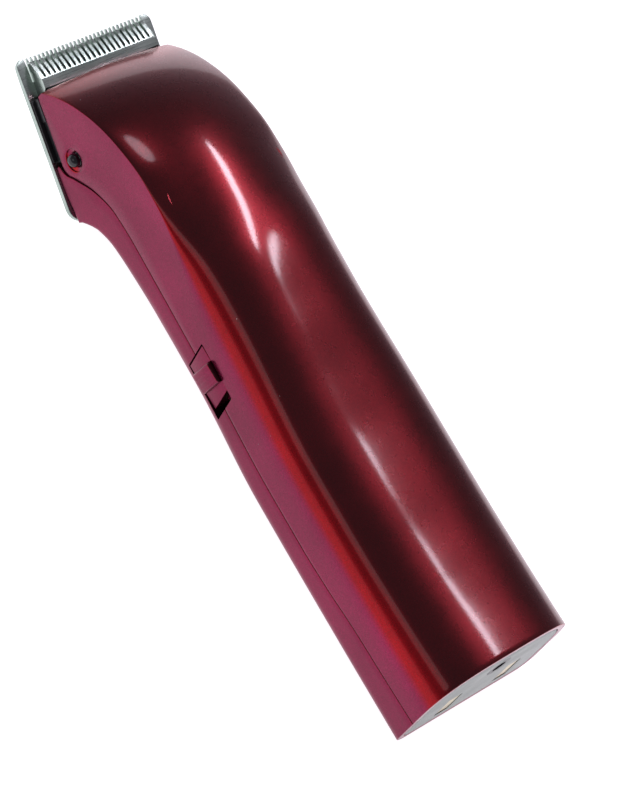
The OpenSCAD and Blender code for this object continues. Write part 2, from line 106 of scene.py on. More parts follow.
# Control points [y, value] of the lengthwise curves
CROWN = [(9.4, 9.6), (14, 16), (20, 20.8), (27, 24.4), (36, 27.2), (48, 29), (62, 29.4), (80, 28.4),
         (98, 27.3), (112, 26.9), (130, 27), (150, 27.7), (171, 29)]
SHOULDER = [(9.4, 6.9), (14, 12.5), (19, 16.5), (25, 20), (32, 22.4), (40, 23.9), (47, 23.8), (56, 22),
            (68, 17.5), (82, 13.8), (100, 12.4), (140, 12.2), (171, 12.9)]
ROUNDNESS = [(9, 2.1), (44, 2.1), (60, 2.5), (80, 3.2), (100, 3.5), (140, 3.4), (171, 3.2)]
WIDTH = [(9, HEAD_HALF - 0.1), (36, HEAD_HALF), (60, HEAD_HALF + 0.5), (84, GRIP_HALF - 0.2),
         (110, GRIP_HALF + 0.9), (171, GRIP_HALF + 1.2)]
BASE = [(37, -5.2), (38.4, -3.6), (41, -1.5), (46.5, 0), (53, 0.2), (61, 0.2), (82, 0.4), (104, 0.5),
        (146, 0.9), (171, 1.4)]
CORNER = [(30, 0.5), (40, 2), (50, 3.6), (64, 5.2), (84, 5.6), (110, 4.4), (171, 4)]
RIM = [(25, 0.26), (26.4, -0.05), (29.3, 2.3), (34.5, 6.3), (41, 8.8), (50, 9.4), (124, 9.5),
       (134, 10), (145, 11.1), (157, 11.7), (171, 12.5)]

# ---------------------------------------------------------------- places taken from the frame
joints = {j["name"]: j for j in frame["joints"]}
mounts = {m["name"]: m for m in frame["record"]["mounts"]}


def laid(turn, point, place):
    """Matrix from millimetres to the row frame: turned about X, with point (mm) landing on place (m)."""
    rotation = Matrix.Rotation(turn, 4, "X") @ Matrix.Scale(MM, 4)
    return Matrix.Translation(Vector(place) - rotation @ Vector(point)) @ rotation


slide_axis = Vector(joints["switch_slide"]["axis"])
pivot_axis = Vector(joints["lever_swing"]["axis"])
rest_tilt = math.atan2(-slide_axis.z, slide_axis.y)
GRIP = laid(-rest_tilt, MOTOR_FACE, joints["motor_spin"]["pos_m"])
BLADE = laid(-math.atan2(pivot_axis.y, pivot_axis.z), LEVER_PIVOT, joints["lever_swing"]["pos_m"])
END = laid(math.radians(90 + END_LEAN) - rest_tilt, (0, SOCKET_UP, SOCKET_DEPTH / 2),
           mounts["charging_socket"]["pos_m"])


# ---------------------------------------------------------------- lengthwise curves
def secant(points, i):
    return (points[i + 1][1] - points[i][1]) / (points[i + 1][0] - points[i][0])


def slope(points, i):
    """Slope at a control point that adds no bumps between the points."""
    if i == 0:
        return secant(points, 0)
    if i == len(points) - 1:
        return secant(points, i - 1)
    a, b = secant(points, i - 1), secant(points, i)
    return 0 if a * b <= 0 else 2 * a * b / (a + b)


def curve(points, y):
    """Smooth curve through the control points, by cubic steps with those slopes."""
    i = 0
    while i < len(points) - 2 and y >= points[i + 1][0]:
        i += 1
    h = points[i + 1][0] - points[i][0]
    t = max(0, min(1, (y - points[i][0]) / h))
    m, n = slope(points, i) * h, slope(points, i + 1) * h
    return ((2 * t**3 - 3 * t**2 + 1) * points[i][1] + (t**3 - 2 * t**2 + t) * m
            + (3 * t**2 - 2 * t**3) * points[i + 1][1] + (t**3 - t**2) * n)


def fair(points, y):
    """The curve averaged over a short stretch, so that reflections run along it without kinks."""
    reach = max(0.01, min(4.5, y - NOSE_Y + 0.3, BODY_LENGTH + 1 - y))
    steps = 6
    offsets = [reach * k / steps for k in range(-steps, steps + 1)]
    weights = [1.001 - abs(k) / steps for k in range(-steps, steps + 1)]
    return sum(w * curve(points, y + o) for w, o in zip(weights, offsets)) / sum(weights)


def over_comb(y, h):
    """Height of the plane h above the comb's upper face."""
    tilt = math.radians(BLADE_TILT)
    return TIP_Z + h / math.cos(tilt) - (y - TIP_Y) * math.tan(tilt)


def base(y):
    """Underside of the grip: just above the comb's upper face, and its own curve behind the comb."""
    return over_comb(y, SHELL_CLEAR) if y < HEEL_STEP else curve(BASE, y)


def upper_rim(y):
    return over_comb(y, RIM_OVER_COMB) if y < RIM[0][0] else curve(RIM, y)


def lower_rim(y):
    corner_y, corner_z = RIM[1]
    return corner_z - SEAM - (corner_y - y) * 0.2 if y < corner_y else upper_rim(y) - SEAM


def shoulder(y):
    return max(fair(SHOULDER, y), upper_rim(y) + 0.4)


def faded(amount, end, length, y):
    """The full amount towards the blade, easing down to 0 over a length that stops at end."""
    t = max(0, min(1, (end - y) / length))
    return amount * t * t * (3 - 2 * t)


def lip(y):
    """How far the lower shell stands proud of the upper one, near the blade only."""
    return faded(LIP_PROUD, LIP_END, LIP_FADE, y)


def crease(y):
    """How far the crown meets the side at a crease: on the head only, fading out into the grip."""
    return faded(CREASE_SHARE, CREASE_END, CREASE_FADE, y)


def leaned(x, y, z):
    """Place of a section point: the rear sections lean with the end face."""
    share = max(0, (y - LEAN_START) / (BODY_LENGTH - LEAN_START))
    return Vector((x, y - share * (z - curve(BASE, BODY_LENGTH)) * math.tan(math.radians(END_LEAN)), z))


# ---------------------------------------------------------------- shell sections
ARC_STEPS, CORNER_STEPS, EDGE_STEPS = 40, 10, 3


def rounded_rim(w, r, up, inward):
    """Points round the rim's edge: up is 1 where the wall rises from it, inward -1 on the inner line."""
    points = []
    for k in range(EDGE_STEPS + 1):
        a = math.pi / 2 * k / EDGE_STEPS
        points.append((w - inward * EDGE * (1 - math.sin(a)), r + up * EDGE * (1 - math.cos(a))))
    return points


def upper_half(y, t, inward=1):
    """Half section of the upper shell, t inside its outer face, from the rim up to the middle."""
    w, r, s = fair(WIDTH, y) - t, upper_rim(y), shoulder(y)
    c, e = fair(CROWN, y) - t, 2 / curve(ROUNDNESS, y)
    side = [(w, r + EDGE + (s - r - EDGE) * k / 4) for k in range(1, 4)]
    arch = []
    for k in range(ARC_STEPS + 1):
        a = math.pi / 2 * (k / ARC_STEPS) ** 1.35
        across = 0 if k == ARC_STEPS else math.cos(a) ** e
        rise = (1 - crease(y)) * math.sin(a) ** e + crease(y) * (1 - across**2)
        arch.append((w * across, s + (c - s) * rise))
    return rounded_rim(w, r, 1, inward) + side + arch


def lower_half(y, t, inward=1):
    """Half section of the lower shell, t inside its outer face, from the rim down to the middle."""
    w, r = fair(WIDTH, y) + (lip(y) if inward > 0 else 0) - t, lower_rim(y)
    b = base(y) + min(t, 0.5 * (r - base(y)))
    q = min(max(0.4, curve(CORNER, y) - t), max(0.05, (r - b) * 0.9))
    edge = min(EDGE, (r - b - q) * 0.9) / EDGE
    rim = [(x if inward < 0 else w - (w - x) * edge, r + (z - r) * edge)
           for x, z in rounded_rim(w, r, -1, inward)]
    side = [(w, rim[-1][1] + (b + q - rim[-1][1]) * k / 3) for k in range(1, 3)]
    corner = [(w - q + q * math.cos(a), b + q - q * math.sin(a))
              for a in (math.pi / 2 * k / CORNER_STEPS for k in range(CORNER_STEPS + 1))]
    return rim + side + corner + [((w - q) * 0.5, b), (0, b)]


def both_sides(half):
    return half + [(-x, z) for x, z in reversed(half[:-1])]


def wall_ring(half, y, drawn, thick):
    """Section of a wall: its outer line, drawn in by drawn, and its inner line backwards."""
    outer = both_sides(half(y, drawn, 1))
    inner = both_sides(half(y, drawn + thick, -1))
    return [leaned(x, y, z) for x, z in outer + inner[::-1]]


def stations(start, stop, sharp, pitch=1.5):
    """Section places from start to stop: even steps, plus the sharp ones, with the ends rounded over."""
    count = round((stop - start) / pitch)
    even = [start + (stop - start) * k / count for k in range(1, count)]
    body = [y for y in even if start + EDGE < y < stop - EDGE and all(abs(y - s) > 0.35 for s in sharp)]
    places = [(y, 0) for y in sorted(body + sharp)]
    ends = []
    for k in range(EDGE_STEPS + 1):
        a = math.pi / 2 * k / EDGE_STEPS
        ends.append((EDGE * (1 - math.sin(a)), EDGE * (1 - math.cos(a))))
    front = [(start + off, drawn) for off, drawn in reversed(ends)]
    rear = [(stop - off, drawn) for off, drawn in ends]
    return front + places + rear


def loft(rings):
    """Closed wall through equal rings, each an outer line and then its inner line backwards."""
    n = len(rings[0])
    verts = [p for ring in rings for p in ring]
    faces = []
    for i in range(len(rings) - 1):
        for k in range(n):
            a, b = i * n + k, i * n + (k + 1) % n
            faces.append((a, b, b + n, a + n))
    last = (len(rings) - 1) * n
    for k in range(n // 2 - 1):
        strip = (k, n - 1 - k, n - 2 - k, k + 1)
        faces.append(strip)
        faces.append(tuple(last + i for i in reversed(strip)))
    return verts, faces


# ---------------------------------------------------------------- mesh helpers
def linked(name, data):
    """New object that holds the data, in the scene."""
    made = bpy.data.objects.new(name, data)
    bpy.context.scene.collection.objects.link(made)
    return made


def mesh_object(name, verts, faces):
    mesh = bpy.data.meshes.new(name)
    mesh.from_pydata([tuple(v) for v in verts], [], faces)
    made = linked(name, mesh)
    tidy_mesh(made)
    return made


def bmesh_object(name, b):
    mesh = bpy.data.meshes.new(name)
    b.to_mesh(mesh)
    b.free()
    return linked(name, mesh)


def tidy_mesh(made):
    """Merges double points, drops slivers and loose edges, and turns every face outwards."""
    b = bmesh.new()
    b.from_mesh(made.data)
    bmesh.ops.remove_doubles(b, verts=b.verts, dist=MERGE)
    bmesh.ops.dissolve_degenerate(b, edges=b.edges, dist=MERGE / 4)
    bmesh.ops.delete(b, geom=[e for e in b.edges if not e.link_faces], context="EDGES")
    bmesh.ops.recalc_face_normals(b, faces=b.faces)
    if b.calc_volume(signed=True) < 0:
        bmesh.ops.reverse_faces(b, faces=b.faces)
    b.to_mesh(made.data)
    b.free()


def lathe(profile, steps):
    """Turned solid about Z: profile is a closed outline of (radius, height)."""
    verts, faces = [], []
    for k in range(steps):
        a = 2 * math.pi * k / steps
        verts += [(r * math.cos(a), r * math.sin(a), z) for r, z in profile]
    n = len(profile)
    for k in range(steps):
        for i in range(n):
            a, b = k * n + i, k * n + (i + 1) % n
            faces.append((a, b, (b + n) % (n * steps), (a + n) % (n * steps)))
    return verts, faces


def turned(name, profile, matrix, steps=48):
    made = mesh_object(name, *lathe(profile, steps))
    made.data.transform(matrix)
    return made


def soft_block(name, low, high, edge, segments=3):
    """Box with rounded edges."""
    low, high = Vector(low), Vector(high)
    b = bmesh.new()
    bmesh.ops.create_cube(b, size=1)
    for v in b.verts:
        v.co = Vector(low[i] + (v.co[i] + 0.5) * (high[i] - low[i]) for i in range(3))
    bmesh.ops.bevel(b, geom=b.edges[:], offset=edge, segments=segments, profile=0.5, affect="EDGES")
    return bmesh_object(name, b)


def join(first, *others):
    """Joins the other objects into the first."""
    with bpy.context.temp_override(active_object=first, object=first,
                                   selected_editable_objects=[first, *others]):
        bpy.ops.object.join()
    return first


def cut(made, *cutters):
    """Takes each cutter away from the object, and removes the cutter."""
    for cutter in cutters:
        modifier = made.modifiers.new("cut", "BOOLEAN")
        modifier.object = cutter
        modifier.solver = "EXACT"
        modifier.operation = "DIFFERENCE"
        apply_modifiers(made)
        tidy_mesh(made)
        bpy.data.objects.remove(cutter)
    return made


def apply_modifiers(made):
    evaluated = made.evaluated_get(bpy.context.evaluated_depsgraph_get())
    mesh = bpy.data.meshes.new_from_object(evaluated)
    made.modifiers.clear()
    made.data = mesh


def outline_plate(name, lines, thick, edge):
    """Plate with rounded edges: the first line is its outline, the others its holes, in X and Y."""
    data = bpy.data.curves.new(name, "CURVE")
    data.dimensions = "2D"
    data.fill_mode = "BOTH"
    data.extrude = thick / 2 - edge
    data.bevel_depth = edge
    data.bevel_resolution = 2
    data.offset = -edge
    for line in lines:
        spline = data.splines.new("POLY")
        spline.points.add(len(line) - 1)
        for point, (x, y) in zip(spline.points, line):
            point.co = (x, y, 0, 1)
        spline.use_cyclic_u = True
    shape = linked(name + "_line", data)
    mesh = bpy.data.meshes.new_from_object(shape.evaluated_get(bpy.context.evaluated_depsgraph_get()))
    bpy.data.objects.remove(shape)
    made = linked(name, mesh)
    tidy_mesh(made)
    return made


def sliced(made, places):
    """Cuts a plate across at each Y, so that it can be bent there."""
    b = bmesh.new()
    b.from_mesh(made.data)
    for y in places:
        geometry = b.verts[:] + b.edges[:] + b.faces[:]
        bmesh.ops.bisect_plane(b, geom=geometry, dist=0.0001, plane_co=(0, y, 0), plane_no=(0, 1, 0))
    b.to_mesh(made.data)
    b.free()


def circle(x, y, r, steps=32):
    return [(x + r * math.cos(2 * math.pi * k / steps), y + r * math.sin(2 * math.pi * k / steps))
            for k in range(steps)]


def arc(x, y, r, start, stop, steps):
    """Points round a corner, from angle start to angle stop in degrees."""
    angles = [math.radians(start + (stop - start) * k / steps) for k in range(steps + 1)]
    return [(x + r * math.cos(a), y + r * math.sin(a)) for a in angles]


def piecewise(points, x):
    """Straight-line interpolation through (x, value) points."""
    if x <= points[0][0]:
        return points[0][1]
    for (x0, v0), (x1, v1) in zip(points, points[1:]):
        if x <= x1:
            return v0 + (v1 - v0) * (x - x0) / (x1 - x0)
    return points[-1][1]


def finish_piece(made, matrix, body, material, replaced, sharp=32):
    """Lays a millimetre piece in the row frame, gives it its material, shades it, ties it to its body and
    hides the CAD parts it replaces.
    """
    made.data.transform(matrix)
    made.data.materials.clear()
    made.data.materials.append(material)
    made.data.shade_smooth()
    made.data.set_sharp_from_angle(angle=math.radians(sharp))
    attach(made, body)
    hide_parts(*replaced)


# ---------------------------------------------------------------- material helpers
class Nodes:
    """A node material under construction. Texture coordinates are the object's own, in millimetres."""

    def __init__(self, name):
        self.material = bpy.data.materials.new(name)
        self.material.use_nodes = True
        self.tree = self.material.node_tree
        self.shader = self.tree.nodes["Principled BSDF"]
        self.place = self.add("ShaderNodeTexCoord").outputs["Object"]

    def add(self, kind, **settings):
        node = self.tree.nodes.new(kind)
        for key, value in settings.items():
            setattr(node, key, value)
        return node

    def link(self, source, target):
        self.tree.links.new(source, target)

    def mapped(self, stretch=(1, 1, 1)):
        node = self.add("ShaderNodeMapping")
        node.inputs["Scale"].default_value = [s / MM for s in stretch]
        self.link(self.place, node.inputs["Vector"])
        return node.outputs["Vector"]

    def noise(self, scale, stretch=(1, 1, 1), detail=3, rough=0.5):
        node = self.add("ShaderNodeTexNoise")
        node.inputs["Scale"].default_value = scale
        node.inputs["Detail"].default_value = detail
        node.inputs["Roughness"].default_value = rough
        self.link(self.mapped(stretch), node.inputs["Vector"])
        return node.outputs["Fac"]

    def cells(self, scale, output="Color"):
        node = self.add("ShaderNodeTexVoronoi", feature="F1")
        node.inputs["Scale"].default_value = scale
        self.link(self.mapped(), node.inputs["Vector"])
        return node.outputs[output]

    def spread(self, value, low, high, start=0.0, stop=1.0):
        """Maps start..stop of a value to low..high."""
        node = self.add("ShaderNodeMapRange")
        for name, number in (("From Min", start), ("From Max", stop), ("To Min", low), ("To Max", high)):
            node.inputs[name].default_value = number
        self.link(value, node.inputs["Value"])
        return node.outputs["Result"]

    def mix(self, factor, first, second):
        """Colour from first to second by the factor; each is a plain colour or another node's output."""
        node = self.add("ShaderNodeMix", data_type="RGBA")
        self.link(factor, node.inputs["Factor"])
        for socket, colour in ((node.inputs[6], first), (node.inputs[7], second)):
            if isinstance(colour, tuple):
                socket.default_value = (*colour, 1)
            else:
                self.link(colour, socket)
        return node.outputs[2]

    def times(self, first, second):
        node = self.add("ShaderNodeMath", operation="MULTIPLY")
        self.link(first, node.inputs[0])
        self.link(second, node.inputs[1])
        return node.outputs[0]

    def bump(self, height, depth, strength=1.0, under=None):
        """Bump of that depth in millimetres, on top of another bump where one is given."""
        node = self.add("ShaderNodeBump")
        node.inputs["Strength"].default_value = strength
        node.inputs["Distance"].default_value = depth * MM
        self.link(height, node.inputs["Height"])
        if under is not None:
            self.link(under, node.inputs["Normal"])
        return node.outputs["Normal"]

    def set(self, **values):
        """Constants on the shader's own sockets; an underscore in a name stands for a space."""
        for name, value in values.items():
            self.shader.inputs[name.replace("_", " ")].default_value = value

    def feed(self, **sources):
        for name, source in sources.items():
            self.link(source, self.shader.inputs[name.replace("_", " ")])


def specks(n, density, size, share):
    """Sparse dust: 1 inside a few small round spots and 0 elsewhere."""
    spot = n.spread(n.cells(density, "Distance"), 1, 0, size * density * 0.6, size * density)
    split = n.add("ShaderNodeSeparateColor")
    n.link(n.cells(density, "Color"), split.inputs[0])
    few = n.add("ShaderNodeMath", operation="LESS_THAN")
    few.inputs[1].default_value = share
    n.link(split.outputs[0], few.inputs[0])
    return n.times(spot, few.outputs[0])


def candy_paint(name, side, edge, crown, dull, gloss):
    """Metallic red under a clear coat that is flatter on the sides, with painted light and shade by facing.

    The three colours follow the way the surface faces and stand in for light: a paler mauve where the side
    is lit, a painted red sheen on the half-upward shoulder and painted shade darkening the crown. Fine
    flakes, a slight orange peel, dust and hairlines go over them.
    """
    n = Nodes(name)
    facing = n.add("ShaderNodeSeparateXYZ")
    n.link(n.tree.nodes["Texture Coordinate"].outputs["Normal"], facing.inputs[0])
    up = facing.outputs["Z"]
    # Painted light and shade: this ramp picks the base colour by how far the surface faces up, with the
    # side colour as lit paint, the edge colour as a painted shoulder sheen and the crown colour as painted
    # shade
    facing_shade_ramp = n.add("ShaderNodeValToRGB")
    facing_shade_ramp.color_ramp.interpolation = "EASE"
    low, high = facing_shade_ramp.color_ramp.elements
    low.position, low.color = 0.1, (*side, 1)
    high.position, high.color = 0.8, (*crown, 1)
    for place in (0.3, 0.55):
        facing_shade_ramp.color_ramp.elements.new(place).color = (*edge, 1)
    n.link(up, facing_shade_ramp.inputs[0])
    flakes = n.spread(n.cells(7), 0, 1, 0.15, 0.85)
    clouds = n.noise(0.06, detail=2)
    depth = n.times(n.spread(flakes, 0.72, 1.2), n.spread(clouds, 0.86, 1.14, 0.3, 0.7))
    paint = n.add("ShaderNodeVectorMath", operation="SCALE")
    n.link(facing_shade_ramp.outputs[0], paint.inputs[0])
    n.link(depth, paint.inputs["Scale"])
    dust = specks(n, 0.25, 0.1, 0.16)
    rough = n.spread(n.noise(0.35, detail=4), dull - 0.02, dull + 0.02, 0.3, 0.7)
    scratch = n.noise(1.6, (1, 0.05, 1), detail=2)
    peel = n.noise(0.22, detail=1)
    n.feed(Base_Color=n.mix(dust, paint.outputs[0], (0.55, 0.45, 0.45)), Roughness=rough,
           Coat_Weight=n.spread(up, gloss * 0.3, gloss, 0.55, 0.85),
           Normal=n.bump(flakes, 0.004, 0.35),
           Coat_Normal=n.bump(dust, 0.05, 0.5, n.bump(scratch, 0.002, 0.25, n.bump(peel, 0.02, 0.15))))
    n.set(Metallic=0.9, Coat_Roughness=0.09, Coat_IOR=1.42)
    return n.material


def moulded(name, dark, light, rough, grain=0.02):
    """Moulded plastic: fine spark-eroded grain, slight colour and gloss variation."""
    n = Nodes(name)
    grit = n.noise(4.0, detail=4, rough=0.6)
    clouds = n.noise(0.12, detail=3)
    n.feed(Base_Color=n.mix(n.spread(clouds, 0, 1, 0.35, 0.65), dark, light),
           Roughness=n.spread(grit, rough - 0.06, rough + 0.08, 0.3, 0.7),
           Normal=n.bump(grit, grain, 0.6))
    return n.material


def ground_steel(name, dark, light, rough, along=(0.04, 1.6, 1.6)):
    """Ground or drawn metal: hairlines along one axis, faint stains and uneven polish."""
    n = Nodes(name)
    lines = n.noise(3.0, along, detail=5, rough=0.65)
    stain = n.noise(0.12, detail=4)
    fine = n.noise(9.0, along, detail=2)
    n.feed(Base_Color=n.mix(n.spread(stain, 0, 1, 0.35, 0.7), light, dark),
           Roughness=n.spread(lines, rough - 0.08, rough + 0.1, 0.3, 0.7),
           Normal=n.bump(fine, 0.003, 0.5, n.bump(lines, 0.006, 0.6)))
    n.set(Metallic=1.0)
    return n.material


def banded(name, first, second, scale, direction, rough, metallic=0.0, depth=0.03):
    """Even bands across one axis, as on a winding or a printed sleeve."""
    n = Nodes(name)
    wave = n.add("ShaderNodeTexWave", wave_type="BANDS", bands_direction=direction)
    wave.inputs["Scale"].default_value = scale
    wave.inputs["Distortion"].default_value = 0.4
    wave.inputs["Detail"].default_value = 1
    n.link(n.mapped(), wave.inputs["Vector"])
    grit = n.noise(2.5, detail=3)
    n.feed(Base_Color=n.mix(wave.outputs["Fac"], first, second),
           Roughness=n.spread(grit, rough - 0.06, rough + 0.08, 0.3, 0.7),
           Normal=n.bump(wave.outputs["Fac"], depth, 0.7))
    n.set(Metallic=metallic)
    return n.material


def circuit_board_material(name):
    """Green solder mask over copper traces, which show as slightly raised paler lines."""
    n = Nodes(name)
    brick = n.add("ShaderNodeTexBrick", offset=0.37)
    brick.inputs["Scale"].default_value = 0.45
    brick.inputs["Mortar Size"].default_value = 0.09
    brick.inputs["Color1"].default_value = (1, 1, 1, 1)
    brick.inputs["Color2"].default_value = (1, 1, 1, 1)
    brick.inputs["Mortar"].default_value = (0, 0, 0, 1)
    n.link(n.mapped(), brick.inputs["Vector"])
    trace = brick.outputs["Fac"]
    n.feed(Base_Color=n.mix(trace, (0.008, 0.10, 0.035), (0.03, 0.24, 0.09)),
           Roughness=n.spread(n.noise(1.5), 0.28, 0.42, 0.3, 0.7),
           Normal=n.bump(trace, 0.06, 0.8))
    return n.material


def all_materials():
    # Painted light and shade for the shells and slider: a paler lit mauve for the sides, a brighter painted
    # red sheen for the shoulder and a dark painted shade for the crown
    lit_side_mauve, sheen_shoulder_red, shaded_crown_red = (0.20, 0.007, 0.045), (0.27, 0.002, 0.006), (0.095, 0.002, 0.005)
    sheen_shoulder_flat_red, shaded_crown_flat_red = (0.24, 0.004, 0.02), (0.06, 0.003, 0.008)
    return {
        "candy_red": candy_paint("candy_red", lit_side_mauve, sheen_shoulder_red, shaded_crown_red, 0.28, 0.7),
        "satin_red": candy_paint("satin_red", lit_side_mauve, sheen_shoulder_flat_red, shaded_crown_flat_red, 0.36, 0.7),
        "cap_grey": moulded("cap_grey", (0.24, 0.27, 0.25), (0.31, 0.34, 0.32), 0.42, 0.03),
        "gilt_contact": ground_steel("gilt_contact", (0.40, 0.33, 0.19), (0.56, 0.48, 0.30), 0.3),
        "black_plastic": moulded("black_plastic", (0.008, 0.009, 0.010), (0.018, 0.019, 0.021), 0.36),
        "cell_sleeve": banded("cell_sleeve", (0.02, 0.20, 0.08), (0.03, 0.28, 0.12), 0.05, "Y", 0.3),
        "nickel_strip": ground_steel("nickel_strip", (0.42, 0.41, 0.38), (0.66, 0.65, 0.60), 0.3),
        "board_green": circuit_board_material("board_green"),
        "component_dark": moulded("component_dark", (0.015, 0.016, 0.018), (0.04, 0.04, 0.045), 0.45),
        "motor_steel": ground_steel("motor_steel", (0.42, 0.43, 0.44), (0.60, 0.61, 0.62), 0.32,
                                    (1.6, 0.05, 1.6)),
        "ivory_acetal": moulded("ivory_acetal", (0.74, 0.70, 0.58), (0.82, 0.79, 0.68), 0.34, 0.012),
        "magnet_dark": moulded("magnet_dark", (0.035, 0.036, 0.04), (0.07, 0.07, 0.075), 0.55, 0.04),
        "copper_winding": banded("copper_winding", (0.50, 0.16, 0.05), (0.85, 0.36, 0.14), 0.9, "Y", 0.3,
                                 1.0, 0.2),
        "bright_steel": ground_steel("bright_steel", (0.55, 0.56, 0.57), (0.76, 0.77, 0.78), 0.18,
                                     (1.6, 1.6, 1.6)),
        "blade_steel": ground_steel("blade_steel", (0.29, 0.36, 0.32), (0.46, 0.54, 0.49), 0.3),
        "screw_steel": ground_steel("screw_steel", (0.28, 0.29, 0.30), (0.48, 0.49, 0.50), 0.3,
                                    (1.2, 1.2, 1.2)),
        "button_black": moulded("button_black", (0.006, 0.006, 0.008), (0.014, 0.013, 0.016), 0.14, 0.004),
    }


# ---------------------------------------------------------------- the two shells
def boss(x, y, z0, z1, hole):
    """Hollow screw post."""
    inner, outer = hole / 2, BOSS_D / 2
    profile = [(inner, z0), (outer, z0), (outer, z1), (inner, z1)]
    return turned("post", profile, Matrix.Translation((x, y, 0)), 32)


def window_cutter():
    """Switch window through the side wall, with rounded corners and ends that lean forward."""
    return leaning(soft_block("window_cutter", (GRIP_HALF - 5, WINDOW_Y[0], WINDOW_Z[0]),
                              (GRIP_HALF + 3, WINDOW_Y[1], WINDOW_Z[1]), 0.4, 4))


def leaning(made):
    """Leans a switch part's ends forward, about the middle height of the window."""
    for v in made.data.vertices:
        v.co.y -= (v.co.z - sum(WINDOW_Z) / 2) * math.tan(math.radians(SWITCH_LEAN))
    return made


def dimple_cutter():
    """Round hole and dished recess for the release button, with a rounded mouth."""
    hole, dish, face = BUTTON_D / 2 + 0.15, DISH_D / 2, fair(WIDTH, BUTTON_Y)
    profile = [(0, face - 4), (hole, face - 4), (hole, face - 0.75)]
    profile += [(hole + 0.1, face - 0.66), (dish - 0.35, face - 0.55)]
    profile += [(dish - 0.1, face - 0.42), (dish, face - 0.25)]
    profile += [(dish + 0.04, face - 0.12), (dish + 0.18, face - 0.02), (dish + 0.5, face + 0.04)]
    profile += [(dish + 0.5, face + 2), (0, face + 2)]
    matrix = Matrix.Translation((0, BUTTON_Y, BUTTON_Z)) @ Matrix.Rotation(math.pi / 2, 4, "Y")
    return turned("dimple_cutter", profile, matrix, 48)


def upper_shell(material):
    sharp = [y for y, _ in RIM[:4]]
    rings = [wall_ring(upper_half, y, d, WALL - 2 * d) for y, d in stations(NOSE_Y, BODY_LENGTH, sharp)]
    made = cut(mesh_object("upper_shell_paint", *loft(rings)), window_cutter(), dimple_cutter())
    posts = [boss(side * x, y, BOSS_TOP + EAR + 0.1, crown_under(x, y), 2.2)
             for x, y in HOUSING_SCREWS for side in (1, -1)]
    join(made, *posts)
    finish_piece(made, GRIP, "grip", material, ["upper_shell"])


def crown_under(x, y):
    """Height of the middle of the upper wall above a point of the section."""
    w, s, c = fair(WIDTH, y) - WALL / 2, shoulder(y), fair(CROWN, y) - WALL / 2
    n = curve(ROUNDNESS, y)
    return s + (c - s) * (1 - ((x + BOSS_D / 2) / w) ** n) ** (1 / n)


def screw_cutter(x, y):
    """Recess under a housing screw, with a softened mouth."""
    low = base(y)
    profile = [(0, low - 2), (RECESS_R + 0.6, low - 2), (RECESS_R + 0.3, low - 0.05)]
    profile += [(RECESS_R, low + 0.25), (RECESS_R, RECESS_TOP), (CLEAR_R, RECESS_TOP)]
    profile += [(CLEAR_R, 14), (0, 14)]
    return turned("screw_cutter", profile, Matrix.Translation((x, y, 0)), 40)


def lower_shell(material):
    sharp = [RIM[1][0], HEEL_STEP - 0.2, HEEL_STEP + 0.2]
    rings = [wall_ring(lower_half, y, d, WALL - 2 * d) for y, d in stations(LIP_Y, BODY_LENGTH, sharp)]
    made = mesh_object("lower_shell_paint", *loft(rings))
    spots = [(side * x, y) for x, y in HOUSING_SCREWS for side in (1, -1)]
    cut(made, window_cutter(), *[screw_cutter(x, y) for x, y in spots])
    posts = []
    for x, y in spots:
        posts.append(boss(x, y, base(y) + 1, RECESS_TOP, 2 * RECESS_R))
        posts.append(boss(x, y, RECESS_TOP, BOSS_TOP, 2 * CLEAR_R))
    join(made, *posts)
    finish_piece(made, GRIP, "grip", material, ["lower_shell"])


# ---------------------------------------------------------------- blade set
def comb_outline():
    """Comb seen from above: fine teeth between two wide corner teeth, and a rounded heel."""
    span = COMB_HALF - 2.3
    pitch = 2 * span / (COMB_TEETH + 1)
    slot, tip_slot = pitch * 0.24, pitch * 0.33
    front, rear = COMB_FRONT_R, COMB_REAR_R
    points = arc(-COMB_HALF + front, front, front, 180, 270, 8)
    for k in range(COMB_TEETH + 1):
        x = -span + pitch * (k + 0.5)
        left, right = x - slot, x + slot
        if k == 0:
            points += [(x - tip_slot - 0.3, 0), (x - tip_slot, 0.3)]
        points += [(left, 3.0), (left, COMB_TOOTH - slot)]
        points += arc(x, COMB_TOOTH - slot, slot, 180, 0, 6)[1:-1]
        points += [(right, COMB_TOOTH - slot), (right, 3.0)]
        if k < COMB_TEETH:
            tooth = pitch / 2
            nose = tooth - tip_slot
            points += [(x + tip_slot, 0.5)] + arc(x + tooth, 0.2 + nose, nose, 180, 360, 6)
            points += [(x + pitch - tip_slot, 0.5)]
        else:
            points += [(x + tip_slot, 0.3), (x + tip_slot + 0.3, 0)]
    points += arc(COMB_HALF - front, front, front, 270, 360, 8)
    points += arc(COMB_HALF - rear, COMB_LENGTH - rear, rear, 0, 90, 10)
    points += arc(-COMB_HALF + rear, COMB_LENGTH - rear, rear, 90, 180, 10)
    return points


def comb(material):
    """Fixed comb: its teeth thin down towards their tips, mostly from below."""
    holes = [circle(side * SCREW_X, SCREW_U, SCREW_HOLE) for side in (1, -1)]
    made = outline_plate("comb_steel", [comb_outline(), *holes], COMB_THICK, 0.11)
    sliced(made, (1.2, 3.0, COMB_TOOTH + 0.6, 9, 14))
    under = [(0, 0.55), (1.2, 0.35), (3.0, 0.12), (COMB_TOOTH + 0.6, 0)]
    over = [(0, 0.22), (1.2, 0.06), (3.0, 0)]
    for v in made.data.vertices:
        rise, drop = piecewise(under, v.co.y), piecewise(over, v.co.y)
        share = (v.co.z + COMB_THICK / 2) / COMB_THICK
        v.co.z = -COMB_THICK + rise + share * (COMB_THICK - rise - drop)
    finish_piece(made, BLADE, "grip", material, ["comb_blade"], 28)


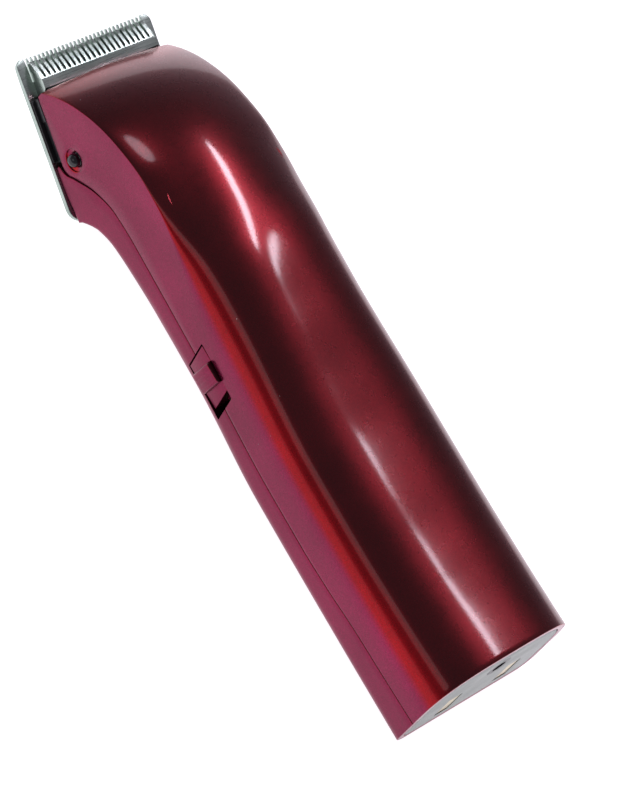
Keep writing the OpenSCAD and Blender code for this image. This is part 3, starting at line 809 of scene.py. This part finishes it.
def cutter_outline():
    """Cutter seen from above: short teeth in front and a straight back."""
    pitch = 2 * CUTTER_HALF / CUTTER_TEETH
    slot, tip_slot, root = 0.27, 0.36, 5.3
    points = [(-CUTTER_HALF, CUTTER_BACK), (-CUTTER_HALF, 3.2), (-CUTTER_HALF, CUTTER_FRONT + 0.3),
              (-CUTTER_HALF + 0.25, CUTTER_FRONT)]
    for k in range(1, CUTTER_TEETH):
        x = -CUTTER_HALF + pitch * k
        points += [(x - tip_slot - 0.15, CUTTER_FRONT), (x - tip_slot, CUTTER_FRONT + 0.2)]
        points += [(x - slot, 3.2), (x - slot, root - slot)]
        points += arc(x, root - slot, slot, 180, 0, 6)[1:-1]
        points += [(x + slot, root - slot), (x + slot, 3.2)]
        points += [(x + tip_slot, CUTTER_FRONT + 0.2), (x + tip_slot + 0.15, CUTTER_FRONT)]
    points += [(CUTTER_HALF - 0.25, CUTTER_FRONT), (CUTTER_HALF, CUTTER_FRONT + 0.3), (CUTTER_HALF, 3.2),
               (CUTTER_HALF, CUTTER_BACK)]
    return points


def cutter(material):
    """Moving blade: sloping teeth, a step at their roots and a flat band behind."""
    made = outline_plate("cutter_steel", [cutter_outline()], CUTTER_HIGH, 0.08)
    top = [(1.2, 0.8), (1.5, 1.15), (4.5, 2.75), (5.45, 3.1), (5.75, CUTTER_HIGH), (7.6, CUTTER_HIGH),
           (8.7, 2.6)]
    sliced(made, [u for u, _ in top[1:-1]] + [2.5, 3.5])
    for v in made.data.vertices:
        share = (v.co.z + CUTTER_HIGH / 2) / CUTTER_HIGH
        v.co.z = CUTTER_LOW + share * (piecewise(top, v.co.y) - CUTTER_LOW)
    finish_piece(made, BLADE, "cutter", material, ["cutter_blade"], 24)


def carrier(material):
    """Black moulding that clips the blade set to the head, with a step and ribs along its sides."""
    body = soft_block("carrier_moulding", (-17.8, 9.2, 0.02), (17.8, 24, 2.0), 0.2)
    pocket = soft_block("pocket", (-7, 7, -1), (7, 16.6, 3), 0.3)
    cut(body, pocket)
    parts = []
    for side in (1, -1):
        x = sorted((side * 17.6, side * 18.15))
        parts.append(soft_block("rib", (x[0], 9.3, 0.15), (x[1], 14.6, 1.85), 0.12))
        x = sorted((side * 17.6, side * 18.9))
        parts.append(soft_block("flange", (x[0], 9.3, 0.02), (x[1], 23.6, 0.45), 0.1))
    join(body, *parts)
    finish_piece(body, BLADE, "grip", material, ["blade_carrier"])


# ---------------------------------------------------------------- controls
def release_button(material):
    """Domed release button: a flange inside, a shaft through the wall and a round glossy head."""
    face, r = HEAD_HALF - 0.3, BUTTON_D / 2
    tail, flange, neck, tail_r, flange_r = 13.1, 15.1, 16.1, 0.9, 2.2
    profile = [(0, tail), (tail_r, tail), (tail_r, flange), (flange_r, flange), (flange_r, neck), (r, neck)]
    profile += [(r - 0.02, face - 0.5), (r - 0.12, face - 0.4), (r - 0.12, face - 0.25)]
    profile += [(r - 0.01, face - 0.15)]
    profile += [(r * math.cos(a), face + r * math.sin(a))
                for a in (math.pi / 2 * k / 12 for k in range(12))] + [(0, face + r)]
    matrix = Matrix.Translation((0, BUTTON_Y, BUTTON_Z)) @ Matrix.Rotation(math.pi / 2, 4, "Y")
    made = turned("release_button_dome", profile, matrix, 48)
    finish_piece(made, GRIP, "button", material, ["release_button"])


def thumb_block():
    """Raised thumb block with softened ends and three faint grip grooves."""
    y0, y1 = THUMB_Y
    z0, z1 = WINDOW_Z[0] + 1, WINDOW_Z[1] - 0.3
    foot, top, steps = 19.2, 20.7, 44
    b = bmesh.new()
    rows = []
    for k in range(steps + 1):
        t = k / steps
        arch = 1 - (2 * t - 1) ** 12
        groove = 0.05 * max(0, math.sin(math.pi * (t * 9 - 0.5))) if 0.18 < t < 0.82 else 0
        x = foot + (top - foot) * (0.6 + 0.4 * arch) - groove
        y = y0 + (y1 - y0) * t
        rows.append([b.verts.new(p) for p in ((foot, y, z0), (x - 0.3, y, z0), (x - 0.07, y, z0 + 0.1),
                                              (x, y, z0 + 0.35), (x, y, z1 - 0.35), (x - 0.07, y, z1 - 0.1),
                                              (x - 0.3, y, z1), (foot, y, z1))])
    n = len(rows[0])
    for first, second in zip(rows, rows[1:]):
        for i in range(n):
            b.faces.new((first[i], first[(i + 1) % n], second[(i + 1) % n], second[i]))
    b.faces.new(rows[0][::-1])
    b.faces.new(rows[-1])
    bmesh.ops.recalc_face_normals(b, faces=b.faces)
    return bmesh_object("thumb_block", b)


def switch_slider(material):
    """Slider cap with its thumb block, a wider plate behind the wall and a tongue to the switch."""
    low, high = WINDOW_Z
    plate = leaning(soft_block("switch_slider_cap", (16.6, SLIDER_Y[0], low + 0.3),
                               (19.35, SLIDER_Y[1], high - 0.3), 0.15))
    back = soft_block("back", (15.9, SLIDER_Y[0] - 3, low - 0.4),
                      (16.7, SLIDER_Y[1] + 0.6, high + 0.4), 0.15)
    tongue = soft_block("tongue", (13.8, THUMB_Y[0] + 1.6, 9.2), (16, THUMB_Y[1] - 1.4, 10.6), 0.15)
    join(plate, thumb_block(), back, tongue)
    finish_piece(plate, GRIP, "switch", material, ["switch_slider"])


# ---------------------------------------------------------------- butt end
def end_outline(inset):
    """Outline of the end face, drawn in by inset, laid up the face."""
    y, foot = BODY_LENGTH, curve(BASE, BODY_LENGTH)
    upper = upper_half(y, inset)[EDGE_STEPS:]
    lower = lower_half(y, inset)[EDGE_STEPS:]
    right = lower[::-1] + upper
    ring = right + [(-x, z) for x, z in reversed(right[1:-1])]
    return [(x, (z - foot) / math.cos(math.radians(END_LEAN))) for x, z in ring]


def end_cap(material):
    """Grey cap set in the rim: rounded edge, socket hole and two shallow contact pockets."""
    line = []
    for point in end_outline(WALL + 0.2):
        if not line or math.dist(point, line[-1]) > 0.15:
            line.append(point)
    made = outline_plate("end_cap_moulding", [line, circle(0, SOCKET_UP, SOCKET_D / 2 + 0.05, 48)],
                         CAP_THICK, 0.18)
    made.data.transform(Matrix.Translation((0, 0, CAP_THICK / 2)))
    pockets = [soft_block("pocket", (side * CONTACT_X - 2.1, CONTACT_UP - 4.1, -1),
                          (side * CONTACT_X + 2.1, CONTACT_UP + 4.1, 0.6), 0.3) for side in (1, -1)]
    cut(made, *pockets)
    finish_piece(made, END, "grip", material, ["end_cap"], 28)


def contacts(material):
    parts = [soft_block("charging_contact_plates", (side * CONTACT_X - 2, CONTACT_UP - 4, 0.15),
                        (side * CONTACT_X + 2, CONTACT_UP + 4, 0.6), 0.12) for side in (1, -1)]
    pins = [turned("pin", [(0, 0.5), (0.6, 0.5), (0.6, 3.5), (0.45, 3.7), (0, 3.7)],
                   Matrix.Translation((side * CONTACT_X, CONTACT_UP, 0)), 24) for side in (1, -1)]
    made = join(parts[0], parts[1], *pins)
    finish_piece(made, END, "grip", material, ["charging_contacts"])


# ---------------------------------------------------------------- build everything
paints = all_materials()
for entry in frame["record"]["subparts"]:
    node = frame["nodes"][entry["node"]]
    node.data.materials.clear()
    node.data.materials.append(paints[entry["material_slot"]])

upper_shell(paints["candy_red"])
lower_shell(paints["satin_red"])
comb(paints["blade_steel"])
cutter(paints["blade_steel"])
carrier(paints["black_plastic"])
release_button(paints["button_black"])
switch_slider(paints["satin_red"])
end_cap(paints["cap_grey"])
contacts(paints["gilt_contact"])


# ---------------------------------------------------------------- floor, lights and camera
def floor():
    """Plain white sweep, lit by the lamps and faintly luminous, as a lit acrylic table is."""
    half = 2.5
    made = mesh_object("floor", [(-half, -half, 0), (half, -half, 0), (half, half, 0), (-half, half, 0)],
                       [(0, 1, 2, 3)])
    n = Nodes("white_sweep")
    grain = n.noise(0.02, detail=2)
    n.feed(Base_Color=n.mix(grain, (0.82, 0.82, 0.82), (0.86, 0.86, 0.86)))
    n.set(Roughness=0.9, Specular_IOR_Level=0.1, Emission_Color=(0.98, 0.96, 1, 1), Emission_Strength=0.95)
    made.data.materials.append(n.material)


def lamp(name, ends, width, target, radiance, colour=(1, 1, 1)):
    """Soft oval lamp in grip millimetres: its long axis runs between ends, and it faces target.

    Its radiance is set, so the power follows from the oval's area.
    """
    first, second = (GRIP @ Vector(e) for e in ends)
    middle = (first + second) / 2
    along = (second - first).normalized()
    back = middle - GRIP @ Vector(target)
    back = (back - along * back.dot(along)).normalized()
    data = bpy.data.lights.new(name, "AREA")
    data.shape = "ELLIPSE"
    data.size, data.size_y = (second - first).length, width * MM
    data.energy = math.pi * math.pi / 4 * data.size * data.size_y * radiance
    data.color = colour
    turn = Matrix((along, back.cross(along), back)).transposed()
    linked(name, data).matrix_world = Matrix.Translation(middle) @ turn.to_4x4()


def world():
    """Pale near the horizon and dark overhead."""
    scene_world = bpy.data.worlds.new("studio")
    bpy.context.scene.world = scene_world
    scene_world.use_nodes = True
    tree = scene_world.node_tree
    background = tree.nodes["Background"]
    place = tree.nodes.new("ShaderNodeTexCoord")
    split = tree.nodes.new("ShaderNodeSeparateXYZ")
    ramp = tree.nodes.new("ShaderNodeValToRGB")
    tree.links.new(place.outputs["Generated"], split.inputs[0])
    tree.links.new(split.outputs["Z"], ramp.inputs[0])
    tree.links.new(ramp.outputs[0], background.inputs[0])
    low, high = ramp.color_ramp.elements
    low.position, low.color = 0.02, (0.4, 0.36, 0.42, 1)
    high.position, high.color = 0.5, (0.22, 0.2, 0.23, 1)
    ramp.color_ramp.elements.new(0.26).color = (0.28, 0.25, 0.3, 1)


def camera():
    """Long lens, from above the switch side. Place and directions are the grip's."""
    place = Vector((381.4, 159.5, 537.7))
    right, up = Vector((-0.7272, 0.5039, 0.4661)), Vector((-0.3616, -0.8584, 0.3639))
    turn = Matrix((right, up, right.cross(up))).transposed()
    data = bpy.data.cameras.new("camera")
    data.lens, data.sensor_width, data.sensor_fit = 135, 36, "AUTO"
    data.clip_start, data.clip_end = 0.01, 20
    made = linked("camera", data)
    grip_turn = GRIP.to_3x3().normalized()
    made.matrix_world = Matrix.Translation(GRIP @ place) @ (grip_turn @ turn).to_4x4()
    bpy.context.scene.camera = made


floor()
world()
camera()
lilac = (0.95, 0.88, 1.0)
lamp("head_strip", ((-662, -530, 868), (-566, -60, 1080)), 84, (0, 50, 28), 38, lilac)
lamp("grip_strip", ((-706, -90, 960), (-644, 40, 1040)), 44, (0, 125, 27), 34, lilac)
lamp("side_softbox", ((870, -420, 640), (870, 260, 640)), 380, (0, 80, 15), 1.1)
lamp("front_strip", ((-60, -800, 860), (-20, -520, 1060)), 150, (15, 35, 25), 7, lilac)
bpy.context.scene.view_settings.view_transform = "Standard"
